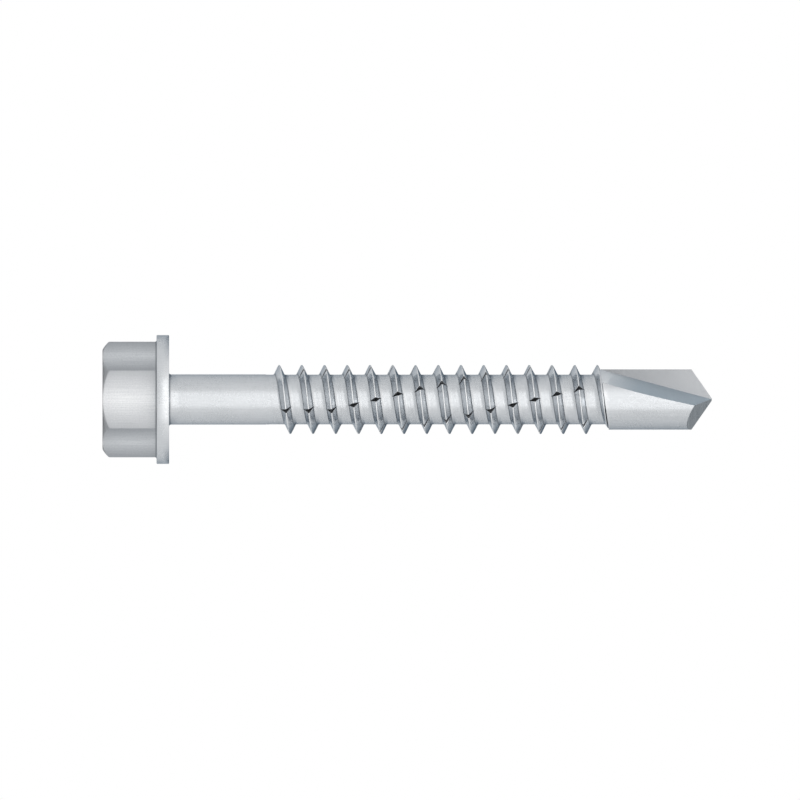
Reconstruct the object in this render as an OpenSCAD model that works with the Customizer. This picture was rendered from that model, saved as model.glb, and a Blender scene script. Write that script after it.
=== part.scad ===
// Self-drilling screw with a hexagon flange head.
// The screw is one solid. It stands on the flat end of its head: the origin is the centre of
// that end, and +Z runs along the axis to the drill point. Lengths are in millimetres and
// angles in degrees. The first full crest of the thread lies on the -X side.

/* [Head] */
// Width of the hexagon across its flats
hex_across_flats = 8; // [6.5:0.1:8.4]
// Height of the hexagon, from the end of the head to the flange
hex_height = 4.3; // [2.5:0.1:7]
// Diameter of the circle in which the corner chamfer meets the end of the head
chamfer_circle = 7.92; // [6.2:0.02:7.96]
// Slope of the corner chamfer, measured from the end of the head
chamfer_angle = 40; // [15:1:50]
// Diameter of the flange
flange_d = 10.26; // [9.9:0.02:13]
// Thickness of the flange
flange_thickness = 1; // [0.6:0.1:2.5]
// Radius of the fillet between the flange and the shank
underhead_fillet = 0.15; // [0.05:0.05:0.6]

/* [Shank] */
// Diameter of the plain shank
shank_d = 4; // [3.98:0.02:4.6]
// Distance from the bearing face of the flange to the first full crest of the thread
thread_start = 8.75; // [4:0.05:20]

/* [Thread] */
// Diameter over the crests of the thread
thread_d = 5.5; // [5.1:0.02:6.4]
// Diameter of the core between the turns of the thread
core_d = 3.96; // [3.5:0.02:3.96]
// Pitch of the thread
thread_pitch = 1.81; // [1.4:0.01:2.4]
// Number of full turns from the first full crest to the last
thread_turns = 14; // [6:1:20]
// Width of the ridge where it leaves the core
root_width = 0.8; // [0.5:0.02:1]
// Width of the flat on top of the crest
crest_width = 0.08; // [0.04:0.01:0.2]

/* [Crest notches] */
// Width of a notch where it crosses the crest
notch_width = 0.3; // [0.1:0.02:0.4]
// Slant of a notch against the axis of the screw
notch_slant = 15; // [0:1:25]
// Number of turns at the start of the thread whose notches lie one behind the other
aligned_turns = 2; // [0:1:4]

/* [Drill point] */
// Diameter of the drill point
drill_d = 4.8; // [4.5:0.02:5]
// Length of the drill point, along the axis from its start to the tip
drill_length = 8.6; // [6:0.1:14]
// Distance from the end of the full thread to the start of the drill point
drill_gap = 0.12; // [0.1:0.01:0.6]
// Tilt of the drill point's start, which follows the last turn of the thread
drill_start_tilt = 8; // [0:1:10]
// Angle of the point, from lip to lip
point_angle = 110; // [90:1:140]
// Angle at which the ground face falls away behind each lip
relief_angle = 20; // [8:1:30]
// Thickness of the web between the two flutes
web_thickness = 0.3; // [0.2:0.02:0.8]
// Slope of a flute's narrow wall at the tip, measured from a right angle to its wide wall
flute_tip_slope = 20; // [15:1:30]
// Slope of that wall at the start of the drill point
flute_start_slope = 27; // [15:1:38]

/* [Hidden] */

// Roundness of the turned surfaces
$fn = 96;
// Steps in which the thread and the fillet are built
stations_per_turn = 36;
fillet_steps = 6;
flute_steps = 12;
station_angle = 360 / stations_per_turn;

// Places along the axis
bearing_z = hex_height + flange_thickness;
first_crest_z = bearing_z + thread_start;
last_crest_z = first_crest_z + thread_turns * thread_pitch;
drill_z = last_crest_z + thread_pitch / 4 + drill_gap;
tip_z = drill_z + drill_length;

// Radii
hex_corner_r = hex_across_flats / 2 / cos(30);
flange_r = flange_d / 2;
shank_r = shank_d / 2;
core_r = core_d / 2;
ridge_height = (thread_d - core_d) / 2;
drill_r = drill_d / 2;

// The side of the screw that carries the first full crest, and angles along the helix, which
// count from that crest. The ridge grows over half a turn and fades into the drill point.
crest_side = 180;
run_in_angle = 180;
run_out_angle = 280;
full_angle = 360 * thread_turns;
// Root line of the ridge narrows with its height, down to this share of its full width
least_width_share = 0.2;

// The built helix runs on past both ends of the ridge, on the bare core, so that the ends of
// its solid lie inside the shank and inside the drill point
end_angle = 420;
helix_start = -run_in_angle - end_angle;
station_count = (full_angle + run_out_angle + end_angle - helix_start) / station_angle + 1;
last_station = station_count - 1;
// The plain shank ends half-way between the end of that solid and the start of the ridge
shank_end_angle = run_in_angle + (end_angle - 360) / 2;
shank_end_z = first_crest_z - thread_pitch * shank_end_angle / 360;

// Notches: a notch every seventh station, so that a row of notches leans back against the
// thread by one station a turn. In the aligned turns the row starts afresh in each turn.
first_notch_angle = 110;
notch_step = 7;
first_notch = (first_notch_angle - helix_start) / station_angle;
aligned_stations = aligned_turns * stations_per_turn;
last_notch = (full_angle - helix_start) / station_angle;
notch_half_angle = asin(notch_width / thread_d);
notch_slant_angle = atan(tan(notch_slant) * root_width / core_d);

// Flutes: the bottom edge of a flute runs from the tip to the rim of the drill point's start
flute_start_z = drill_z - drill_r * tan(drill_start_tilt);
flute_lean = atan2(drill_r, tip_z - flute_start_z);
flute_overrun = 0.05;
// Length by which the cutter of a flute reaches past the tip and the start
flute_margin = drill_r;
// Larger than anything that is cut at the drill point
reach = drill_length + thread_d;

// Share of the full height that the ridge has at an angle along the helix
function ridge_share(angle) =
    angle < 0 ? max(0, 1 + angle / run_in_angle)
    : max(0, min(1, 1 - (angle - full_angle) / run_out_angle));

// Point at a radius and an angle along the helix, moved along the axis by an offset
function helix_point(radius, angle, offset) = [
    radius * cos(angle + crest_side),
    radius * sin(angle + crest_side),
    first_crest_z + thread_pitch * angle / 360 + offset
];

// Whether a station carries a notch
function in_aligned_turn(i) = i - first_notch < aligned_stations;
function notched(i) =
    i >= first_notch && i <= last_notch
    && (in_aligned_turn(i) ? (i - first_notch) % stations_per_turn % notch_step == 0
            && (i - first_notch) % stations_per_turn <= stations_per_turn - notch_step
        : (i - first_notch - aligned_stations) % notch_step == 0);

// Points of one station of the ridge: root, crest, crest and root again, then the two crest
// points on the far side of the notch, which only a notched station uses
function station_points(i) =
    let (
        angle = helix_start + i * station_angle,
        share = ridge_share(angle),
        width_share = least_width_share + (1 - least_width_share) * share,
        half_crest = crest_width / 2,
        half_root = half_crest + (root_width / 2 - half_crest) * width_share,
        crest_r = core_r + ridge_height * share,
        slant = notched(i) ? notch_slant_angle : 0,
        gap = notched(i) ? notch_half_angle : 0
    ) [
        helix_point(core_r, angle + slant, -half_root),
        helix_point(crest_r, angle - gap, -half_crest),
        helix_point(crest_r, angle - gap, half_crest),
        helix_point(core_r, angle - slant, half_root),
        helix_point(crest_r, angle + gap, -half_crest),
        helix_point(crest_r, angle + gap, half_crest)
    ];

// Indices of those points
points_per_station = 6;
function root_low(i) = i * points_per_station;
function crest_low(i) = i * points_per_station + 1;
function crest_high(i) = i * points_per_station + 2;
function root_high(i) = i * points_per_station + 3;
function leaving_low(i) = i * points_per_station + (notched(i) ? 4 : 1);
function leaving_high(i) = i * points_per_station + (notched(i) ? 5 : 2);
start_centre = station_count * points_per_station;
end_centre = start_centre + 1;

// The two triangles of a patch whose corners are given clockwise, seen from outside
function patch(a, b, c, d) = [[a, b, c], [a, c, d]];

function span_faces(i) = [
    each patch(root_low(i), leaving_low(i), crest_low(i + 1), root_low(i + 1)),
    each patch(leaving_low(i), leaving_high(i), crest_high(i + 1), crest_low(i + 1)),
    each patch(leaving_high(i), root_high(i), root_high(i + 1), crest_high(i + 1))
];
function core_faces(i) = patch(
    root_high(i), root_low(i + stations_per_turn),
    root_low(i + stations_per_turn + 1), root_high(i + 1)
);
function notch_faces(i) = [
    each patch(root_low(i), crest_low(i), crest_high(i), root_high(i)),
    each patch(root_low(i), root_high(i), leaving_high(i), leaving_low(i))
];

// Rims of the helix solid, which a fan of triangles closes at each end
start_rim = [
    for (i = [0 : stations_per_turn]) root_low(i),
    root_high(0), crest_high(0), crest_low(0)
];
end_rim = [
    for (i = [last_station : -1 : last_station - stations_per_turn]) root_high(i),
    root_low(last_station), crest_low(last_station), crest_high(last_station)
];
function fan(centre, rim) = [
    for (i = [0 : len(rim) - 1]) [centre, rim[i], rim[(i + 1) % len(rim)]]
];

// Hexagon with its corners chamfered at the end of the head
module hex_head() {
    seat = flange_thickness / 2;
    height = hex_height + seat;
    intersection() {
        cylinder(r = hex_corner_r, h = height, $fn = 6);
        cylinder(
            r1 = chamfer_circle / 2,
            r2 = chamfer_circle / 2 + height / tan(chamfer_angle),
            h = height
        );
    }
}

// Flange, fillet and plain shank, turned in one
module flange_and_shank() {
    fillet = [
        for (i = [0 : fillet_steps])
            let (angle = 90 * i / fillet_steps)
            [
                shank_r + underhead_fillet * (1 - sin(angle)),
                bearing_z + underhead_fillet * (1 - cos(angle))
            ]
    ];
    rotate_extrude()
        polygon(concat(
            [[0, hex_height], [flange_r, hex_height], [flange_r, bearing_z]],
            fillet,
            [[shank_r, shank_end_z], [0, shank_end_z]]
        ));
}

// Core and ridge of the thread, with a V-shaped notch at every notched station
module thread() {
    points = [
        for (i = [0 : last_station]) each station_points(i),
        helix_point(0, helix_start, thread_pitch / 2),
        helix_point(0, helix_start + station_angle * last_station, -thread_pitch / 2)
    ];
    faces = [
        for (i = [0 : last_station - 1]) each span_faces(i),
        for (i = [0 : last_station - stations_per_turn - 1]) each core_faces(i),
        for (i = [0 : last_station]) if (notched(i)) each notch_faces(i),
        each fan(start_centre, start_rim),
        each fan(end_centre, end_rim)
    ];
    polyhedron(points = points, faces = faces, convexity = thread_turns);
}

// Everything beyond the tilted plane in which the drill point starts, out to a radius
module beyond_drill_start(radius, early) {
    intersection() {
        translate([0, 0, last_crest_z - radius]) cylinder(r = radius, h = reach + radius);
        translate([0, 0, drill_z - early]) rotate([0, -drill_start_tilt, 0])
            translate([-reach, -reach, 0]) cube([reach + reach, reach + reach, reach + reach]);
    }
}

// One flute: a groove between a flat wide wall beside the web and a narrow wall. The narrow wall
// opens towards the start, so that its outer edge looks straight from the side.
module flute() {
    tip_run = reach * tan(flute_tip_slope);
    start_run = reach * tan(flute_start_slope);
    margin_run = (start_run - tip_run) * flute_margin / drill_length;
    past_tip_run = tip_run - margin_run;
    past_start_run = start_run + margin_run;
    intersection() {
        translate([0, -web_thickness / 2, tip_z])
            rotate([0, flute_lean, 0])
            translate([0, 0, -drill_length - flute_margin])
            linear_extrude(
                height = drill_length + flute_margin + flute_margin,
                scale = [past_tip_run / past_start_run, 1],
                slices = flute_steps
            )
            polygon([[0, 0], [-reach, 0], [-reach, -reach], [past_start_run, -reach]]);
        beyond_drill_start(thread_d, flute_overrun);
    }
}

// Waste above one ground face, which falls away from a lip at the edge of the web
module relief_waste() {
    translate([0, web_thickness / 2, tip_z])
        rotate([relief_angle, 90 - point_angle / 2, 0])
        translate([-reach, -reach, 0])
        cube([reach + reach, reach + reach, reach]);
}

module screw() {
    color([0.80, 0.82, 0.85])
        difference() {
            union() {
                hex_head();
                flange_and_shank();
                thread();
                beyond_drill_start(drill_r, 0);
            }
            for (side = [0, 180])
                rotate([0, 0, side]) {
                    flute();
                    relief_waste();
                }
        }
}

screw();
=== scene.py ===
"""Self-drilling screw with a hexagon flange head, standing on the end of its head.

Sizes of the screw and the floor are in millimetres and become metres where a mesh is made.
Angles are in degrees. Lamps and camera are placed in metres. +Z runs along the screw from the
end of its head to the drill point, and the first full crest of the thread lies on the -X side.
"""
import math

import bmesh
import bpy
from mathutils import Matrix, Vector


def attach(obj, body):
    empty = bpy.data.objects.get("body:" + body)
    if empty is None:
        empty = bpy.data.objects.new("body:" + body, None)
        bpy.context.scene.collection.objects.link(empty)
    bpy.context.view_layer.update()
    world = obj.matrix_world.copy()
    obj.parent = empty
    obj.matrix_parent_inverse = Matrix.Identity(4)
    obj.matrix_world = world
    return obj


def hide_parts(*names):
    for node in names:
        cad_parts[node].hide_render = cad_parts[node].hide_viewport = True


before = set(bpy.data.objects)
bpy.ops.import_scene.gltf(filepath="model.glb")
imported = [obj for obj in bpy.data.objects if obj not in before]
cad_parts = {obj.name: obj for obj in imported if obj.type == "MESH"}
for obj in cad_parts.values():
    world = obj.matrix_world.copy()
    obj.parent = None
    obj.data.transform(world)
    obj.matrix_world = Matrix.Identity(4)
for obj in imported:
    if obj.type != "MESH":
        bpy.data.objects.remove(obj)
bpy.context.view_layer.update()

MM = 0.001

# Head: hexagon with chamfered corners, neck and flange. The edge of the end face is rounded over
# a length of that face and a share of the chamfer.
ACROSS_FLATS = 8.0
HEX_HEIGHT = 4.3
CORNER_ROUND = 0.12
END_FACE_R = 3.94
CHAMFER_TOP_R = 4.62
CHAMFER_TOP_Z = 0.535
CHAMFER_BULGE = 0.046
END_EDGE_ROUND = 0.05
END_EDGE_SHARE = 0.08
SIDE_EDGE_ROUND = 0.08
FLANGE_R = 5.13
FLANGE_THICKNESS = 1.0
FLANGE_ROUND = 0.07
NECK_FILLET = 0.12
UNDERHEAD_FILLET = 0.15

# Shank and thread. The ridge grows over the run-in and fades over the run-out. The built helix
# goes on past both by the end angle, on the bare core inside the shank and the drill point.
SHANK_R = 2.0
CORE_R = 1.98
CREST_R = 2.75
PITCH = 1.81
TURNS = 14
THREAD_START = 8.75
ROOT_WIDTH = 0.8
CREST_WIDTH = 0.08
ROOT_FILLET = 0.07
RUN_IN = 180
RUN_OUT = 280
END_ANGLE = 420
LEAST_WIDTH_SHARE = 0.2

# Crest notches. They lie on the grid angles of the thread's mesh. In the aligned turns they are
# one behind the other, and then each row leans back by one grid step a turn.
NOTCH_WIDTH = 0.34
NOTCH_SLANT = 15
FIRST_NOTCH = 110
NOTCH_SPACING = 70
ALIGNED_TURNS = 2
GRID_STEP = 10

# Shares of the ridge's height that a notch leaves at its bottom and at its lips, and share of
# its own width that a notch keeps at the core
NOTCH_BOTTOM_HEIGHT = 0.03
NOTCH_LIP_HEIGHT = 0.97
NOTCH_ROOT_WIDTH = 0.12
# Angle beyond a lip at which the ridge has its full height again
NOTCH_MARGIN = 0.5

# Points of the ridge's flank, as shares of its height: top of the root fillet, two on the
# straight flank, the rounded shoulder and the edge of the crest. The widths are shares of the
# fillet and of the crest that are left there.
FILLET_TOP = 0.03
FILLET_TOP_WIDTH = 0.35
FLANK_HEIGHTS = (0.12, 0.5)
SHOULDER_HEIGHT = 0.92
SHOULDER_INSET = 0.01
CREST_EDGE_HEIGHT = 0.99
CREST_EDGE_WIDTH = 0.85

# Drill point
DRILL_R = 2.4
DRILL_LENGTH = 8.6
DRILL_GAP = 0.12
START_TILT = 8
POINT_ANGLE = 110
RELIEF_ANGLE = 20
WEB = 0.3
FLUTE_TIP_SLOPE = 20
FLUTE_START_SLOPE = 27
FLUTE_OVERRUN = 0.05

# Divisions of the meshes: radii of the end face's rings, angles of the head's columns from each
# corner of the hexagon, spans of bare core between two turns of the ridge, levels of a flute's
# cutter, and sides of the drill point and the floor
END_FACE_RINGS = (0.9, 1.9, 2.8, 3.5)
CORNER_COLUMNS = (0, 0.25, 0.5, 0.8, 1.3, 2.2, 3.5, 5, 7, 9.5, 12.5, 16, 20, 25, 30)
CORE_SPANS = 4
FLUTE_STEPS = 24
DRILL_SIDES = 180
FLOOR_SIDES = 96
# Points closer than this are welded, and edges sharper than this angle are shaded sharp
WELD_DISTANCE = 0.0005
SHARP_ANGLE = 32

# Places along the axis
BEARING_Z = HEX_HEIGHT + FLANGE_THICKNESS
FIRST_CREST_Z = BEARING_Z + THREAD_START
LAST_CREST_Z = FIRST_CREST_Z + TURNS * PITCH
DRILL_Z = LAST_CREST_Z + PITCH / 4 + DRILL_GAP
TIP_Z = DRILL_Z + DRILL_LENGTH
SHANK_END_Z = FIRST_CREST_Z - PITCH * (RUN_IN + (END_ANGLE - 360) / 2) / 360

# Worked out from the sizes above
SECTOR = 360 / 6
HALF_FLATS = ACROSS_FLATS / 2
HEX_CORNER_R = HALF_FLATS / math.cos(math.radians(SECTOR / 2))
CHAMFER_RUN = CHAMFER_TOP_R - END_FACE_R
CHAMFER_LENGTH = math.hypot(CHAMFER_RUN, CHAMFER_TOP_Z)
FULL_ANGLE = 360 * TURNS
HELIX_START = -RUN_IN - END_ANGLE
HELIX_END = FULL_ANGLE + RUN_OUT + END_ANGLE
NOTCH_HALF = math.degrees(math.asin(NOTCH_WIDTH / 2 / CREST_R))
SLANT_SHIFT = math.degrees(
    math.atan(math.tan(math.radians(NOTCH_SLANT)) * ROOT_WIDTH / 2 / CORE_R))
START_SLOPE = math.tan(math.radians(START_TILT))
REACH = DRILL_LENGTH + 2 * CREST_R

# Columns of the thread's mesh at each grid angle: before, on, between and beyond the lips of a
# notch that may lie there, and one half-way to the next grid angle
HALF_STEP = GRID_STEP / 2
COLUMN_OFFSETS = (-NOTCH_HALF - NOTCH_MARGIN, -NOTCH_HALF, 0, NOTCH_HALF,
                  NOTCH_HALF + NOTCH_MARGIN, HALF_STEP)
# Columns after which the mesh lies inside the notch
NOTCH_COLUMNS = (1, 2)

# Colours of the plating, from its cloudy ground to what lies on it, with painted sheen, highlights
# and shade among them
PLATING_DEEP = (0.69, 0.71, 0.73, 1)
PLATING_PALE = (0.765, 0.785, 0.805, 1)
# Painted sheen on the faces of the hexagon
HEXAGON_SHEEN = (0.98, 0.985, 0.99, 1)
GRAIN_GREY = (0.60, 0.615, 0.635, 1)
LINE_GREY = (0.58, 0.595, 0.615, 1)
# Painted shade towards the corners of the hexagon
CORNER_SHADE = (0.44, 0.455, 0.475, 1)
# Wear on the ridge, and a painted sheen on its flanks
WORN_SHEEN_BRIGHT = (0.92, 0.925, 0.93, 1)
# Painted highlight on the rim of the flange
RIM_HIGHLIGHT = (0.86, 0.87, 0.88, 1)
# Painted shade in the creases
CREVICE_SHADE_GREY = (0.20, 0.21, 0.225, 1)
# Painted shade on the wide wall of a flute, and a painted highlight at the start of the narrow one
WIDE_WALL_START = (0.37, 0.38, 0.395, 1)
WIDE_WALL_TIP = (0.55, 0.56, 0.575, 1)
NARROW_WALL_START = (0.94, 0.95, 0.96, 1)
NARROW_WALL_TIP = (0.64, 0.71, 0.76, 1)
GROUND_PALE = (0.61, 0.61, 0.605, 1)
GROUND_DEEP = (0.50, 0.50, 0.495, 1)
# Painted shade inside the notches
NOTCH_SHADE = (0.28, 0.29, 0.305, 1)
EDGE_TINT = (0.45, 0.5, 0.55, 1)

# Floor and backdrop
FLOOR_R = 1200
WALL_LOW_Z = -12
WALL_HIGH_Z = 58
FLOOR_GREY = (0.84, 0.84, 0.84, 1)
WHITE = (1, 1, 1, 1)

# Colours of the sky in front of the screw, and low and high behind it
SKY_FRONT = (1.09, 1.08, 1.07, 1)
SKY_BEHIND_LOW = (0.10, 0.15, 0.20, 1)
SKY_BEHIND_HIGH = (0.31, 0.35, 0.385, 1)

# Softboxes aimed at the middle of the screw: place, width and height in metres, power in watts
LAMP_TARGET = (0, 0, 0.024)
LAMPS = {
    "front_softbox": ((0, -0.5, 0.05), 0.75, 0.1, 0.137),
    "front_strip": ((0, -0.5, 0.05), 0.3, 0.1, 0.078),
    "top_softbox": ((0, 0.17, 0.45), 0.45, 0.45, 0.33),
    "key_softbox": ((0, -0.22, 0.45), 0.2, 0.2, 0.2),
}

# The photograph: its width in pixels, the size of a pixel in metres, the column in which the
# head ends and the row of the screw's axis
PHOTO_WIDTH = 800
PIXEL = 0.0796 * MM
HEAD_END_COLUMN = 102.5
AXIS_ROW = 399.5
CAMERA_DISTANCE = 0.2
CAMERA_CLIP = (0.01, 5)


def new_object(name, points, faces):
    """Object whose mesh is given in millimetres."""
    mesh = bpy.data.meshes.new(name)
    mesh.from_pydata([Vector(p) * MM for p in points], [], faces)
    mesh.validate()
    thing = bpy.data.objects.new(name, mesh)
    bpy.context.scene.collection.objects.link(thing)
    return thing


def combine(target, other, operation):
    """Boolean of one object with another, which is used up."""
    step = target.modifiers.new("combine", "BOOLEAN")
    step.operation = operation
    step.solver = "MANIFOLD"
    step.object = other
    depsgraph = bpy.context.evaluated_depsgraph_get()
    mesh = bpy.data.meshes.new_from_object(target.evaluated_get(depsgraph))
    target.modifiers.clear()
    old = target.data
    target.data = mesh
    mesh.name = target.name
    bpy.data.meshes.remove(old)
    bpy.data.meshes.remove(other.data)


def turn_about(axis, degrees):
    return Matrix.Rotation(math.radians(degrees), 4, axis)


def blend(a, b, share):
    return a + (b - a) * share


def circle(radius, sides):
    """Points of a circle round the axis."""
    return [(radius * math.cos(math.tau * i / sides), radius * math.sin(math.tau * i / sides))
            for i in range(sides)]


def line(start, end, steps):
    """Points that divide a line into equal steps, without its ends."""
    return [tuple(blend(a, b, i / steps) for a, b in zip(start, end)) for i in range(1, steps)]


def corner_curve(before, corner, after, steps):
    """Curve that rounds a corner, from one point to another."""
    points = []
    for i in range(steps + 1):
        t = i / steps
        points.append(tuple(
            (1 - t) ** 2 * before[k] + 2 * t * (1 - t) * corner[k] + t * t * after[k]
            for k in range(2)))
    return points


def arc(centre_r, centre_z, radius, start, end, steps):
    """Arc in the plane of radius and height, between two angles."""
    points = []
    for i in range(steps + 1):
        angle = math.radians(blend(start, end, i / steps))
        points.append((centre_r + radius * math.cos(angle), centre_z + radius * math.sin(angle)))
    return points


# Head and shank
def hex_radius(offset):
    """Distance from the axis to the side of the hexagon, at an angle from a rounded corner."""
    centre = (HALF_FLATS - CORNER_ROUND) / math.cos(math.radians(SECTOR / 2))
    angle = math.radians(offset)
    side = centre * math.sin(angle)
    if side < CORNER_ROUND:
        r = centre * math.cos(angle) + math.sqrt(CORNER_ROUND ** 2 - side ** 2)
        around = math.atan2(r * math.sin(angle), r * math.cos(angle) - centre)
        if math.degrees(around) <= SECTOR / 2:
            return r
    return HALF_FLATS / math.cos(math.radians(SECTOR / 2 - offset))


def chamfer_point(share):
    """Point of the slightly bulged corner chamfer, from the end face outwards."""
    bulge = 4 * CHAMFER_BULGE * share * (1 - share)
    return (END_FACE_R + CHAMFER_RUN * share + bulge * CHAMFER_TOP_Z / CHAMFER_LENGTH,
            CHAMFER_TOP_Z * share - bulge * CHAMFER_RUN / CHAMFER_LENGTH)


def chamfer_share(radius):
    """Share of the chamfer at which it reaches a radius, found by halving the span."""
    low, high = 0.0, 1.0
    for _ in range(30):
        middle = (low + high) / 2
        if chamfer_point(middle)[0] < radius:
            low = middle
        else:
            high = middle
    return low


def end_profile(side_r):
    """Profile of end face and chamfer, with rounded edges, up to the side of the hexagon."""
    top = chamfer_share(side_r)
    start = min(END_EDGE_SHARE, top / 3)
    first, edge = chamfer_point(start), chamfer_point(top)
    room = min(SIDE_EDGE_ROUND, 0.4 * math.hypot(edge[0] - first[0], edge[1] - first[1]))
    stop = top - room / CHAMFER_LENGTH
    profile = [(r, 0.0) for r in END_FACE_RINGS]
    profile += corner_curve((END_FACE_R - END_EDGE_ROUND, 0.0), (END_FACE_R, 0.0), first, steps=3)
    profile += [chamfer_point(blend(start, stop, i / 4)) for i in range(1, 4)]
    profile += corner_curve(chamfer_point(stop), edge, (side_r, edge[1] + room), steps=4)
    return profile


def head_profile(side_r):
    """Profile of head, flange and shank where the side of the hexagon lies at this distance."""
    neck_r, neck_z = side_r + NECK_FILLET, HEX_HEIGHT - NECK_FILLET
    rim_r = FLANGE_R - FLANGE_ROUND
    root_r, root_z = SHANK_R + UNDERHEAD_FILLET, BEARING_Z + UNDERHEAD_FILLET
    profile = end_profile(side_r)
    profile += line(profile[-1], (side_r, neck_z), steps=6)
    profile += arc(neck_r, neck_z, NECK_FILLET, 180, 90, steps=4)
    profile += line((neck_r, HEX_HEIGHT), (rim_r, HEX_HEIGHT), steps=3)
    profile += arc(rim_r, HEX_HEIGHT + FLANGE_ROUND, FLANGE_ROUND, -90, 0, steps=4)
    profile.append((FLANGE_R, HEX_HEIGHT + FLANGE_THICKNESS / 2))
    profile += arc(rim_r, BEARING_Z - FLANGE_ROUND, FLANGE_ROUND, 0, 90, steps=4)
    profile += line((rim_r, BEARING_Z), (root_r, BEARING_Z), steps=4)
    profile += arc(root_r, root_z, UNDERHEAD_FILLET, 270, 180, steps=5)
    profile += line((SHANK_R, root_z), (SHANK_R, SHANK_END_Z), steps=10)
    profile.append((SHANK_R, SHANK_END_Z))
    return profile


def make_head():
    """Head, flange and plain shank as one closed solid, made of columns round the axis."""
    sector = [*CORNER_COLUMNS, *(SECTOR - angle for angle in reversed(CORNER_COLUMNS[1:-1]))]
    columns = []
    for corner in range(6):
        for offset in sector:
            angle = math.radians(SECTOR * corner + offset)
            profile = head_profile(hex_radius(min(offset, SECTOR - offset)))
            columns.append([(r * math.cos(angle), r * math.sin(angle), z) for r, z in profile])
    rows, count = len(columns[0]), len(columns)
    points = [point for column in columns for point in column]
    end_centre, shank_centre = len(points), len(points) + 1
    points += [(0, 0, 0), (0, 0, SHANK_END_Z)]
    faces = []
    for c in range(count):
        a, b = c * rows, (c + 1) % count * rows
        faces.append((end_centre, b, a))
        faces.append((shank_centre, a + rows - 1, b + rows - 1))
        faces += [(a + k, b + k, b + k + 1, a + k + 1) for k in range(rows - 1)]
    return new_object("screw_head", points, faces)


# Thread
def ridge_share(angle):
    """Share of its full height that the ridge has."""
    if angle < 0:
        return max(0.0, 1 + angle / RUN_IN)
    return max(0.0, min(1.0, 1 - (angle - FULL_ANGLE) / RUN_OUT))


def notched(grid_angle):
    """Whether a notch lies at a grid angle."""
    along = grid_angle - FIRST_NOTCH
    if along < 0 or grid_angle > FULL_ANGLE:
        return False
    if along < 360 * ALIGNED_TURNS:
        return along % 360 % NOTCH_SPACING == 0 and along % 360 <= 360 - NOTCH_SPACING
    return (along - 360 * ALIGNED_TURNS) % NOTCH_SPACING == 0


def notch_height(offset):
    """Share of the ridge's height that a notch leaves, at an angle from its middle."""
    if offset == 0:
        return NOTCH_BOTTOM_HEIGHT
    return NOTCH_LIP_HEIGHT if abs(offset) == NOTCH_HALF else 1


def helix_point(radius, angle, turned_on, offset):
    """Point at an angle along the helix, moved along the axis and turned on about it."""
    turn = math.radians(angle + turned_on + 180)
    z = FIRST_CREST_Z + PITCH * angle / 360 + offset
    return (radius * math.cos(turn), radius * math.sin(turn), z)


def ridge_profile(share):
    """Height and distance from the ridge's middle of each point, from its foot to its crest."""
    half_crest = CREST_WIDTH / 2
    width = blend(LEAST_WIDTH_SHARE, 1, share)
    half_root = half_crest + (ROOT_WIDTH / 2 - half_crest) * width
    fillet = ROOT_FILLET * share

    def flank(height):
        return blend(half_root, half_crest, height)

    return [
        (0, half_root + fillet),
        (FILLET_TOP, flank(FILLET_TOP) + fillet * FILLET_TOP_WIDTH),
        *((height, flank(height)) for height in FLANK_HEIGHTS),
        (SHOULDER_HEIGHT, flank(SHOULDER_HEIGHT + SHOULDER_INSET)),
        (CREST_EDGE_HEIGHT, half_crest * CREST_EDGE_WIDTH),
        (1, 0),
    ]


def column_points(grid_angle, offset):
    """Points across one pitch: up and down the ridge, then along the bare core."""
    angle = grid_angle + offset
    share = ridge_share(angle)
    flank = ridge_profile(share)
    cut = notched(grid_angle) and offset != HALF_STEP
    points = []
    for side, half in ((-1, flank), (1, flank[-2::-1])):
        for height, across in half:
            level, turned_on = height * share, 0
            if cut:
                spread = offset * blend(NOTCH_ROOT_WIDTH, 1, height)
                turned_on = spread - offset - side * SLANT_SHIFT * (1 - height)
                level *= notch_height(offset)
            points.append(
                helix_point(blend(CORE_R, CREST_R, level), angle, turned_on, side * across))
    foot = flank[0][1]
    for i in range(1, CORE_SPANS):
        points.append(helix_point(CORE_R, angle, 0, blend(foot, PITCH - foot, i / CORE_SPANS)))
    return points


def make_thread():
    """Core and ridge as one closed solid, with a mark on the faces inside the notches."""
    columns = []
    for grid_angle in range(HELIX_START, HELIX_END + 1, GRID_STEP):
        columns += [column_points(grid_angle, offset) for offset in COLUMN_OFFSETS]
    across = len(columns[0])
    per_turn = 360 // GRID_STEP * len(COLUMN_OFFSETS)
    last = len(columns) - 1
    points = [point for column in columns for point in column]

    def index(i, k):
        return i * across + k if k < across else (i + per_turn) * across + k - across

    faces, marks = [], []
    for i in range(last):
        step, column = divmod(i, len(COLUMN_OFFSETS))
        in_notch = notched(HELIX_START + step * GRID_STEP) and column in NOTCH_COLUMNS
        for k in range(across):
            if k < across - 1 or i + 1 + per_turn <= last:
                faces.append((index(i, k), index(i + 1, k), index(i + 1, k + 1), index(i, k + 1)))
                marks.append(1.0 if in_notch and k < across - CORE_SPANS else 0.0)
    start_rim = [index(i, 0) for i in range(per_turn + 1)]
    start_rim += [index(0, k) for k in range(across - 1, 0, -1)]
    end_rim = [index(i, across - 1) for i in range(last, last - per_turn - 1, -1)]
    end_rim += [index(last, k) for k in range(across - 1)]
    for rim, angle, lift in ((start_rim, HELIX_START, PITCH / 2), (end_rim, HELIX_END, -PITCH / 2)):
        centre = len(points)
        points.append((0, 0, FIRST_CREST_Z + PITCH * angle / 360 + lift))
        faces += [(centre, rim[(i + 1) % len(rim)], rim[i]) for i in range(len(rim))]
    thread = new_object("screw_thread", points, faces)
    notch = thread.data.attributes.new("notch", "FLOAT", "FACE").data
    for i, mark in enumerate(marks):
        notch[i].value = mark
    return thread


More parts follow.
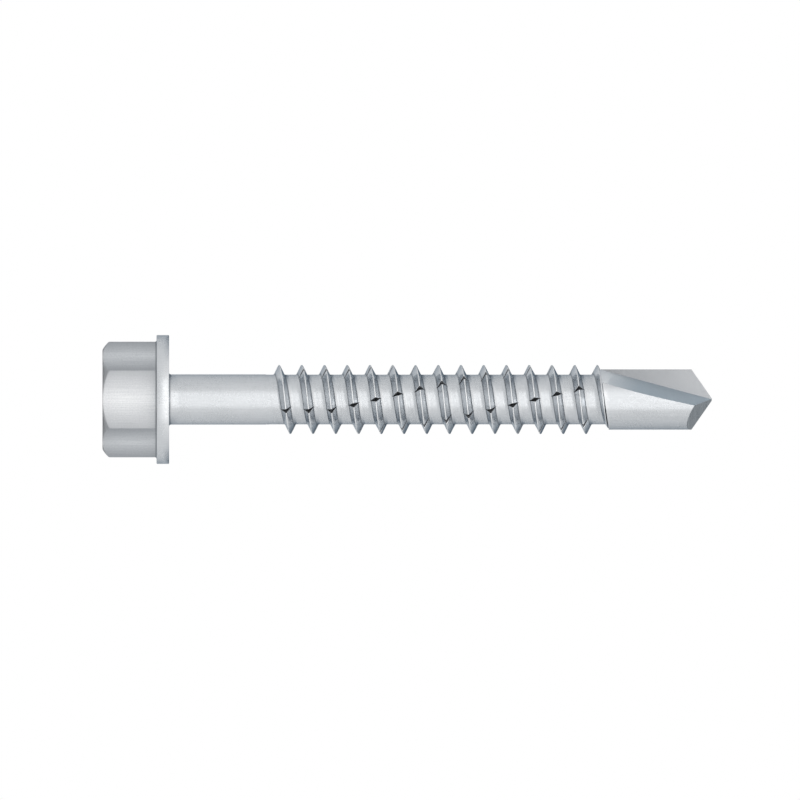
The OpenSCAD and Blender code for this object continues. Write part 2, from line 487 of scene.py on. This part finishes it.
# Drill point
def loft(levels, matrix, name):
    """Solid through outlines given counter-clockwise, each with its height."""
    count = len(levels[0][1])
    points = [(x, y, height) for height, outline in levels for x, y in outline]
    top = len(points) - count
    faces = [tuple(range(count - 1, -1, -1)), tuple(range(top, top + count))]
    for start in range(0, top, count):
        for i in range(count):
            a, b = start + i, start + (i + 1) % count
            faces.append((a, b, b + count, a + count))
    return new_object(name, [tuple(matrix @ Vector(p)) for p in points], faces)


def half_space(height, matrix, name):
    """Block that stands on the ground plane of a matrix and is wider than the drill point."""
    square = [(-REACH, -REACH), (REACH, -REACH), (REACH, REACH), (-REACH, REACH)]
    return loft([(0, square), (height, square)], matrix, name)


def make_drill_blank():
    """Round blank of the drill point, which starts on a tilted plane."""
    ring = circle(DRILL_R, DRILL_SIDES)
    points = [(x, y, DRILL_Z + x * START_SLOPE) for x, y in ring]
    points += [(x, y, TIP_Z + DRILL_R) for x, y in ring]
    top = len(ring)
    faces = [tuple(range(top - 1, -1, -1)), tuple(range(top, 2 * top))]
    faces += [(i, (i + 1) % top, (i + 1) % top + top, i + top) for i in range(top)]
    return new_object("screw_drill", points, faces)


def flute_cutter(place):
    """Groove with a flat wide wall and a narrow one that opens towards the start."""
    tip_run, start_run = (REACH * math.tan(math.radians(slope))
                          for slope in (FLUTE_TIP_SLOPE, FLUTE_START_SLOPE))
    levels = []
    for i in range(FLUTE_STEPS + 1):
        height = blend(-DRILL_LENGTH - DRILL_R, DRILL_R, i / FLUTE_STEPS)
        run = blend(tip_run, start_run, -height / DRILL_LENGTH)
        levels.append((height, [(0, 0), (-REACH, 0), (-REACH, -REACH), (run, -REACH)]))
    return loft(levels, place, "flute")


def cut_drill_point(screw):
    """Cuts two flutes and two ground faces, and returns the planes of the ground faces."""
    planes = []
    lean = math.degrees(math.atan2(DRILL_R, TIP_Z - DRILL_Z + DRILL_R * START_SLOPE))
    for half_turn in (0, 180):
        about = turn_about("Z", half_turn)
        place = about @ Matrix.Translation((0, -WEB / 2, TIP_Z)) @ turn_about("Y", lean)
        flute = flute_cutter(place)
        beyond = about @ Matrix.Translation((0, 0, DRILL_Z - FLUTE_OVERRUN))
        beyond = beyond @ turn_about("Y", -START_TILT)
        combine(flute, half_space(2 * REACH, beyond, "keep"), "INTERSECT")
        combine(screw, flute, "DIFFERENCE")
        place = about @ Matrix.Translation((0, WEB / 2, TIP_Z))
        place = place @ turn_about("Y", 90 - POINT_ANGLE / 2) @ turn_about("X", RELIEF_ANGLE)
        combine(screw, half_space(REACH, place, "waste"), "DIFFERENCE")
        planes.append((place.to_translation(), place.to_3x3() @ Vector((0, 0, 1))))
    return planes


def mark_point(screw, planes):
    """Marks the wide and narrow walls of the flutes and the ground faces, for the material."""
    start_margin, round_margin, plane_margin = 0.01, 0.02, 0.003
    same_direction, wide_wall_direction = 0.9999, 0.999
    names = ("wide_wall", "narrow_wall", "ground")
    for name in names:
        screw.data.attributes.new(name, "FLOAT", "FACE")
    wide, narrow, ground = (screw.data.attributes[name].data for name in names)
    for face in screw.data.polygons:
        x, y, z = face.center / MM
        in_thread = z < DRILL_Z + x * START_SLOPE + start_margin
        if in_thread or math.hypot(x, y) > DRILL_R - round_margin:
            continue
        on_plane = any(abs((Vector((x, y, z)) - point).dot(normal)) < plane_margin
                       and abs(face.normal.dot(normal)) > same_direction
                       for point, normal in planes)
        on_wide_wall = abs(face.normal.y) > wide_wall_direction
        marks = ground if on_plane else wide if on_wide_wall else narrow
        marks[face.index].value = 1.0


# Material
class Nodes:
    """Short way to write a node tree."""

    def __init__(self, tree):
        self.tree = tree
        tree.nodes.clear()

    def add(self, kind, inputs=None, **settings):
        """New node with its inputs, by name or number, and its own settings."""
        node = self.tree.nodes.new(kind)
        for key, value in settings.items():
            setattr(node, key, value)
        for key, value in (inputs or {}).items():
            self.put(value, node.inputs[key])
        return node

    def put(self, value, socket):
        """Sets a socket to a value, or links another socket to it."""
        if isinstance(value, bpy.types.NodeSocket):
            self.tree.links.new(value, socket)
        else:
            socket.default_value = value

    def math(self, operation, *values):
        node = self.add("ShaderNodeMath", operation=operation)
        for i, value in enumerate(values):
            self.put(value, node.inputs[i])
        return node.outputs[0]

    def plus(self, first, *others):
        for other in others:
            first = self.math("ADD", first, other)
        return first

    def minus(self, first, second):
        return self.math("SUBTRACT", first, second)

    def times(self, first, second):
        return self.math("MULTIPLY", first, second)

    def ramp(self, value, low, high, first, last):
        """Value mapped from one span to another, without overrun."""
        inputs = {"Value": value, "From Min": low, "From Max": high,
                  "To Min": first, "To Max": last}
        return self.add("ShaderNodeMapRange", inputs).outputs["Result"]

    def band(self, value, start, middle, end):
        """Nearness of a value to the middle of a band, from 0 at its ends to 1."""
        return self.times(self.ramp(value, start, middle, 0, 1),
                          self.ramp(value, middle, end, 1, 0))

    def noise(self, vector, scale, detail):
        inputs = {"Vector": vector, "Scale": scale, "Detail": detail}
        return self.add("ShaderNodeTexNoise", inputs).outputs["Fac"]

    def lines(self, parts, scales, detail):
        """Noise whose scale differs along the three parts of a place, so that it has a grain."""
        scaled = [self.times(part, scale) for part, scale in zip(parts, scales)]
        vector = self.add("ShaderNodeCombineXYZ", dict(enumerate(scaled))).outputs[0]
        return self.noise(vector, 1, detail)

    def between(self, share, first, second):
        """Number between two others."""
        node = self.add("ShaderNodeMix", data_type="FLOAT")
        for value, socket in zip((share, first, second), (0, 2, 3)):
            self.put(value, node.inputs[socket])
        return node.outputs[0]

    def mix(self, share, first, second):
        """Colour between two others."""
        node = self.add("ShaderNodeMix", data_type="RGBA")
        for value, socket in zip((share, first, second), (0, 6, 7)):
            self.put(value, node.inputs[socket])
        return node.outputs[2]


def painted_crevice_shade(nodes, place, radius, in_thread):
    """Painted shade in the creases: at the foot of the ridge, the seam of the drill point, neck and
    fillet.
    """
    x, _, z = place
    foot = nodes.times(in_thread, nodes.band(radius, CORE_R + 0.01, CORE_R + 0.05, CORE_R + 0.16))
    seam_z = nodes.minus(z, nodes.times(x, START_SLOPE))
    seam = nodes.band(seam_z, DRILL_Z - 0.1, DRILL_Z, DRILL_Z + 0.03)
    neck = nodes.band(z, HEX_HEIGHT - 0.14, HEX_HEIGHT - 0.03, HEX_HEIGHT + 0.03)
    neck = nodes.times(neck, nodes.ramp(radius, HEX_CORNER_R + 0.13, HEX_CORNER_R - 0.02, 0, 1))
    fillet = nodes.band(z, BEARING_Z - 0.02, BEARING_Z + 0.02, BEARING_Z + 0.2)
    fillet = nodes.times(fillet, nodes.ramp(radius, SHANK_R + 0.25, SHANK_R + 0.1, 0, 1))
    return nodes.math("MINIMUM", nodes.plus(foot, seam, neck, fillet), 1.0)


def plated_steel():
    """Bright zinc plating over rolled steel, worn a little where the thread stands proud, with a
    painted sheen on the flanks of the ridge.
    """
    material = bpy.data.materials.new("plated_steel")
    material.use_nodes = True
    nodes = Nodes(material.node_tree)
    point = nodes.add("ShaderNodeTexCoord").outputs["Object"]
    point = nodes.add("ShaderNodeVectorMath", {0: point, "Scale": 1 / MM},
                      operation="SCALE").outputs[0]
    place = nodes.add("ShaderNodeSeparateXYZ", {0: point}).outputs
    x, y, z = place
    square = nodes.plus(nodes.times(x, x), nodes.times(y, y))
    radius = nodes.math("SQRT", square)
    turn = nodes.math("ARCTAN2", y, x)

    # Where things are on the screw, each from 0 to 1
    wide, narrow, ground, notch = (
        nodes.add("ShaderNodeAttribute", attribute_name=name).outputs["Fac"]
        for name in ("wide_wall", "narrow_wall", "ground", "notch"))
    in_thread = nodes.times(nodes.ramp(z, SHANK_END_Z, SHANK_END_Z + 0.3, 0, 1),
                            nodes.ramp(z, LAST_CREST_Z, LAST_CREST_Z + 1, 1, 0))
    # Wear on the ridge, and a painted sheen on its flanks
    worn_and_sheen = nodes.times(in_thread, nodes.ramp(radius, CORE_R + 0.04, CORE_R + 0.32, 0, 1))
    # Painted highlight on the rim of the flange
    rim = nodes.times(nodes.ramp(radius, FLANGE_R - 0.03, FLANGE_R - 0.01, 0, 1),
                      nodes.ramp(z, HEX_HEIGHT, HEX_HEIGHT + 0.1, 0, 1))
    hexagon = nodes.ramp(z, HEX_HEIGHT - 0.05, HEX_HEIGHT, 1, 0)
    # Painted shade towards the corners of the hexagon
    off_middle = nodes.math("SQRT", nodes.math(
        "MAXIMUM", nodes.minus(square, HALF_FLATS ** 2), 0.0))
    corner = nodes.times(nodes.ramp(off_middle, 0.2, 2.3, 0, 1), hexagon)
    # Painted shade that darkens the creases
    crevice_shade = painted_crevice_shade(nodes, place, radius, in_thread)

    # Cloudy plating, its grain and specks, and fine lines: drawn along the shank and head, rolled
    # round the thread and ground across the point
    cloud = nodes.noise(point, scale=0.45, detail=3)
    grain = nodes.noise(point, scale=9, detail=4)
    speck = nodes.noise(point, scale=30, detail=2)
    drawn = nodes.lines(place, scales=(11, 11, 0.3), detail=3)
    along = nodes.minus(z, nodes.times(turn, PITCH / math.tau))
    rolled = nodes.lines((x, y, along), scales=(0.25, 0.25, 14), detail=3)
    scored = nodes.lines(place, scales=(0.4, 0.4, 16), detail=2)
    lines = nodes.between(ground, nodes.between(in_thread, drawn, rolled), scored)

    # The flutes are forged; the wide wall carries painted shade, darkest at its start, and the
    # narrow one a painted highlight there
    height = nodes.plus(z, nodes.times(grain, 1.5))
    wide_wall_shade = nodes.mix(
        nodes.ramp(height, DRILL_Z + 1, TIP_Z, 0, 1), WIDE_WALL_START, WIDE_WALL_TIP)
    narrow_wall_highlight = nodes.mix(
        nodes.ramp(height, DRILL_Z + 0.5, DRILL_Z + 3.5, 0, 1), NARROW_WALL_START, NARROW_WALL_TIP)
    bare = nodes.mix(nodes.ramp(scored, 0.35, 0.65, 0, 1), GROUND_PALE, GROUND_DEEP)

    # Layers over the plating, each with its share. The faces of the hexagon carry a painted sheen,
    # brightest along their middle, and painted shade towards the corners.
    colour = nodes.mix(nodes.ramp(cloud, 0.35, 0.65, 0, 1), PLATING_DEEP, PLATING_PALE)
    for share, layer in (
            (hexagon, HEXAGON_SHEEN),
            (nodes.ramp(grain, 0.3, 0.7, 0, 0.35), GRAIN_GREY),
            (nodes.ramp(lines, 0.35, 0.7, 0, 0.3), LINE_GREY),
            (nodes.times(corner, 0.8), CORNER_SHADE),
            (nodes.times(worn_and_sheen, 0.9), WORN_SHEEN_BRIGHT),
            (nodes.times(rim, 0.35), RIM_HIGHLIGHT),
            (nodes.times(crevice_shade, 0.7), CREVICE_SHADE_GREY),
            (wide, wide_wall_shade),
            (narrow, narrow_wall_highlight),
            (ground, bare),
            # Painted shade inside the notches
            (nodes.times(notch, 0.85), NOTCH_SHADE)):
        colour = nodes.mix(share, colour, layer)

    # Rougher where it was forged, pinched or pressed, and smoother where it is worn
    dull = nodes.plus(wide, narrow, notch)
    rough = nodes.plus(
        nodes.ramp(cloud, 0.3, 0.7, 0.24, 0.32), nodes.ramp(grain, 0.3, 0.7, -0.03, 0.05),
        nodes.times(worn_and_sheen, -0.08), nodes.times(dull, 0.22), nodes.times(hexagon, 0.24))
    relief = nodes.plus(
        nodes.times(grain, 0.5), nodes.times(lines, 0.6), nodes.times(speck, 0.2))
    bump = nodes.add("ShaderNodeBump", {
        "Strength": 0.35, "Distance": 0.012 * MM, "Height": relief}).outputs[0]
    shader = nodes.add("ShaderNodeBsdfPrincipled", {
        "Base Color": colour, "Roughness": rough, "Metallic": 1.0,
        "Specular Tint": EDGE_TINT, "Normal": bump})
    nodes.add("ShaderNodeOutputMaterial", {"Surface": shader.outputs[0]})
    return material


def make_screw():
    """The whole screw as one closed piece."""
    screw = make_head()
    combine(screw, make_thread(), "UNION")
    combine(screw, make_drill_blank(), "UNION")
    planes = cut_drill_point(screw)
    screw.name = screw.data.name = "plated_screw"
    shape = bmesh.new()
    shape.from_mesh(screw.data)
    bmesh.ops.remove_doubles(shape, verts=shape.verts, dist=WELD_DISTANCE * MM)
    bmesh.ops.dissolve_degenerate(shape, edges=shape.edges, dist=WELD_DISTANCE * MM)
    shape.to_mesh(screw.data)
    shape.free()
    mark_point(screw, planes)
    screw.data.shade_smooth()
    screw.data.set_sharp_from_angle(angle=math.radians(SHARP_ANGLE))
    screw.data.materials.clear()
    screw.data.materials.append(plated_steel())
    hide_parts("screw")
    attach(screw, "root")


# Stage, light and camera
def stage_piece(name, points, faces, shader, colour):
    """Plain piece that isn't part of the object, with a shader of one colour."""
    material = bpy.data.materials.new(name)
    material.use_nodes = True
    nodes = Nodes(material.node_tree)
    surface = nodes.add(shader, {"Color": colour})
    nodes.add("ShaderNodeOutputMaterial", {"Surface": surface.outputs[0]})
    piece = new_object(name, points, faces)
    piece.data.materials.append(material)
    return nodes, surface


def make_stage():
    """Round pale floor, and a low white wall round its rim."""
    ring = circle(FLOOR_R, FLOOR_SIDES)
    count = len(ring)
    stage_piece("floor", [(x, y, 0) for x, y in ring], [tuple(range(count))],
                "ShaderNodeBsdfDiffuse", FLOOR_GREY)
    points = [(x, y, z) for z in (WALL_LOW_Z, WALL_HIGH_Z) for x, y in ring]
    faces = [(i, (i + 1) % count, (i + 1) % count + count, i + count) for i in range(count)]
    nodes, surface = stage_piece("backdrop", points, faces, "ShaderNodeEmission", WHITE)
    # Only the camera and reflections see the wall, so that it adds no light of its own
    rays = nodes.add("ShaderNodeLightPath").outputs
    seen = nodes.math("MAXIMUM", rays["Is Camera Ray"], nodes.math(
        "MAXIMUM", rays["Is Glossy Ray"], rays["Is Transmission Ray"]))
    nodes.put(seen, surface.inputs["Strength"])


def area_light(name, place, width, height, power):
    """Softbox aimed at the middle of the screw."""
    data = bpy.data.lights.new(name, "AREA")
    data.shape = "RECTANGLE"
    data.size, data.size_y = width, height
    data.energy = power
    light = bpy.data.objects.new(name, data)
    light.location = place
    aim = Vector(LAMP_TARGET) - Vector(place)
    light.rotation_euler = aim.to_track_quat("-Z", "Y").to_euler()
    bpy.context.scene.collection.objects.link(light)


def make_light():
    """Sky that is pale in front of the screw and darker behind it, and the softboxes."""
    world = bpy.data.worlds.new("studio")
    world.use_nodes = True
    nodes = Nodes(world.node_tree)
    towards = nodes.add("ShaderNodeTexCoord").outputs["Generated"]
    _, back, up = nodes.add("ShaderNodeSeparateXYZ", {0: towards}).outputs
    behind = nodes.mix(nodes.ramp(up, 0.15, 0.6, 0, 1), SKY_BEHIND_LOW, SKY_BEHIND_HIGH)
    colour = nodes.mix(nodes.ramp(back, -1, 1, 0, 1), SKY_FRONT, behind)
    sky = nodes.add("ShaderNodeBackground", {"Color": colour, "Strength": 1.0})
    nodes.add("ShaderNodeOutputWorld", {"Surface": sky.outputs[0]})
    bpy.context.scene.world = world
    for name, (place, width, height, power) in LAMPS.items():
        area_light(name, place, width, height, power)


def make_camera():
    """Level view from -Y with the screw's axis across the picture, without perspective."""
    data = bpy.data.cameras.new("camera")
    data.type = "ORTHO"
    data.ortho_scale = PHOTO_WIDTH * PIXEL
    data.clip_start, data.clip_end = CAMERA_CLIP
    camera = bpy.data.objects.new("camera", data)
    middle = PHOTO_WIDTH / 2
    matrix = Matrix(((0, -1, 0), (0, 0, -1), (1, 0, 0))).to_4x4()
    matrix.translation = (
        (middle - AXIS_ROW) * PIXEL, -CAMERA_DISTANCE, (middle - HEAD_END_COLUMN) * PIXEL)
    camera.matrix_world = matrix
    bpy.context.scene.collection.objects.link(camera)
    bpy.context.scene.camera = camera


make_camera()
make_screw()
make_stage()
make_light()
bpy.context.scene.view_settings.view_transform = "Standard"
